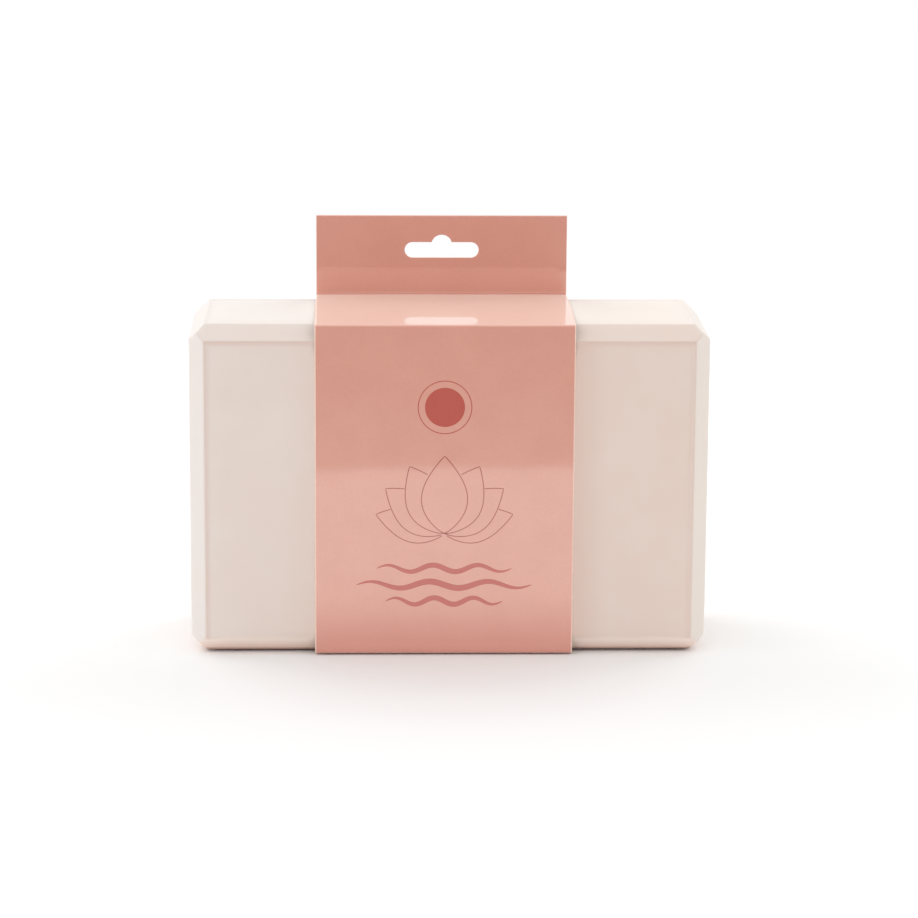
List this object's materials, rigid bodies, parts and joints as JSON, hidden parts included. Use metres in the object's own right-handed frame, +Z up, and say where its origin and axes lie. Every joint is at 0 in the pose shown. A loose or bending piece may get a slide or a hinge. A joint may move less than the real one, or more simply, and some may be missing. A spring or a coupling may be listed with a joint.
{
  "type": "yoga block",
  "caption": "Chamfered foam yoga block standing on its long side in a folded card sleeve whose creased hang tab has a slot for a display peg.",
  "frame": {"origin": "on the ground, under the middle of the whole part", "axes": "+X along the block's length, +Y from the sleeve's front panel to its back panel, +Z up towards the hang tab"},
  "size_m": [0.23, 0.0778, 0.1865],
  "materials": {
    "foam": "matte",
    "board": "gloss",
    "glue": "satin"
  },
  "bodies": {
    "block": {"foam_block": "foam"},
    "sleeve": {"front_panel": "board", "top_panel": "board", "bottom_panel": "board", "back_panel": "board", "seam_flap": "board", "seam_glue": "glue", "tab_front_crease": "board", "tab_rear_crease": "board"},
    "tab": {"tab_front_ply": "board", "tab_rear_ply": "board", "tab_glue": "glue"}
  },
  "joints": [
    {"name": "sleeve_slide", "type": "slide", "parent": "block", "child": "sleeve", "axis": [1, 0, 0], "range_m": [-0.172, 0.1765]},
    {"name": "tab_fold", "type": "hinge", "parent": "sleeve", "child": "tab", "pos_m": [-0.0022, 0.03902, 0.151], "axis": [1, 0, 0], "range_deg": [-178, 85], "deforming": ["tab_front_crease", "tab_rear_crease"]}
  ]
}
